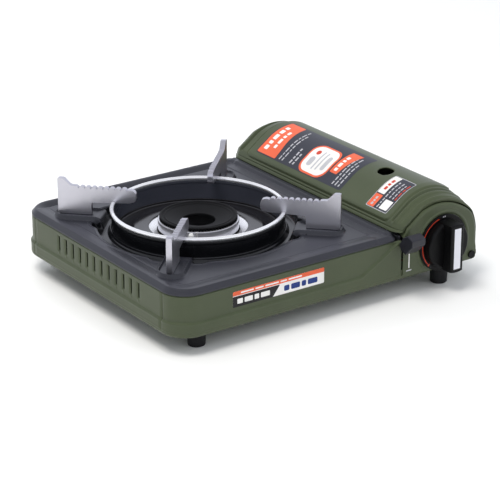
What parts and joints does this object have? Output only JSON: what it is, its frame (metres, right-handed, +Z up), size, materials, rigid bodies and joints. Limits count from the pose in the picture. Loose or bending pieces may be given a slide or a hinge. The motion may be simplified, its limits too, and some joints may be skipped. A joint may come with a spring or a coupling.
{
  "type": "butane cassette stove",
  "caption": "Portable single-burner butane cassette stove with a green sheet casing, black top plate, ring pan support and a hinged canister lid.",
  "frame": {"origin": "middle of the bounding box's bottom, on the table", "axes": "+X to the canister side, +Y to the back, +Z up; the controls face -Y"},
  "size_m": [0.348, 0.3006, 0.1015],
  "materials": {
    "green_enamel": "satin",
    "black_enamel": "gloss",
    "pan_enamel": "gloss",
    "stainless": "satin",
    "chrome_wire": "polished",
    "bright_steel": "polished",
    "zinc_steel": "satin",
    "cast_aluminium": "matte",
    "burner_black": "matte",
    "brass": "satin",
    "black_plastic": "matte",
    "grey_plastic": "satin",
    "white_plastic": "gloss",
    "rubber": "matte",
    "ceramic": "glazed ceramic",
    "lead_sheath": "matte"
  },
  "bodies": {
    "base": {"base_pan": "green_enamel", "front_panel": "green_enamel", "side_panel": "green_enamel", "rear_panel": "green_enamel", "control_panel": "green_enamel", "rear_end_panel": "green_enamel", "partition": "zinc_steel", "top_plate": "black_enamel", "wind_shield": "black_enamel", "drip_pan": "pan_enamel", "reflector_cone": "bright_steel", "burner_skirt": "bright_steel", "burner_body": "cast_aluminium", "burner_bracket": "zinc_steel", "igniter_electrode": "ceramic", "electrode_pin": "bright_steel", "igniter_wire": "lead_sheath", "gas_nozzle": "brass", "nozzle_clip": "zinc_steel", "gas_pipe": "brass", "governor": "zinc_steel", "gas_valve_body": "cast_aluminium", "valve_bracket": "zinc_steel", "piezo_igniter": "black_plastic", "canister_cradle": "bright_steel", "hinge_pin_front": "burner_black", "hinge_pin_rear": "burner_black", "dial_bezel": "black_plastic", "lever_guide": "zinc_steel", "foot_screws": "zinc_steel", "rear_panel_screws": "zinc_steel", "foot_front_left": "rubber", "foot_front_right": "rubber", "foot_rear_left": "rubber", "foot_rear_right": "rubber"},
    "lid": {"canister_lid": "green_enamel"},
    "knob": {"knob": "black_plastic", "knob_pointer": "white_plastic", "valve_stem": "brass"},
    "lever": {"lock_lever": "grey_plastic"},
    "clamp": {"canister_clamp": "zinc_steel"},
    "trivet": {"trivet_ring": "chrome_wire", "trivet_arm_right_rear": "stainless", "trivet_arm_left_rear": "stainless", "trivet_arm_left_front": "stainless", "trivet_arm_right_front": "stainless"},
    "burner_cap": {"burner_cap": "burner_black"}
  },
  "joints": [
    {"name": "lid_hinge", "type": "hinge", "parent": "base", "child": "lid", "pos_m": [0.167, 0.0102, 0.0245], "axis": [0, 1, 0], "range_deg": [0, 100]},
    {"name": "knob_turn", "type": "hinge", "parent": "base", "child": "knob", "pos_m": [0.1304, -0.1283, 0.0455], "axis": [0, -1, 0], "range_deg": [0, 150]},
    {"name": "lever_slide", "type": "slide", "parent": "base", "child": "lever", "axis": [0, 0, -1], "range_m": [0, 0.016], "stiffness_N_per_m": 250, "springref_m": -0.01},
    {"name": "clamp_slide", "type": "slide", "parent": "base", "child": "clamp", "axis": [0, -1, 0], "range_m": [0, 0.008]},
    {"name": "trivet_lift", "type": "slide", "parent": "base", "child": "trivet", "axis": [0, 0, 1], "range_m": [0, 0.05]},
    {"name": "burner_cap_lift", "type": "slide", "parent": "base", "child": "burner_cap", "axis": [0, 0, 1], "range_m": [0, 0.03]}
  ],
  "couplings": [
    {"joint": "clamp_slide", "follows": "lever_slide", "ratio": 0.5}
  ]
}
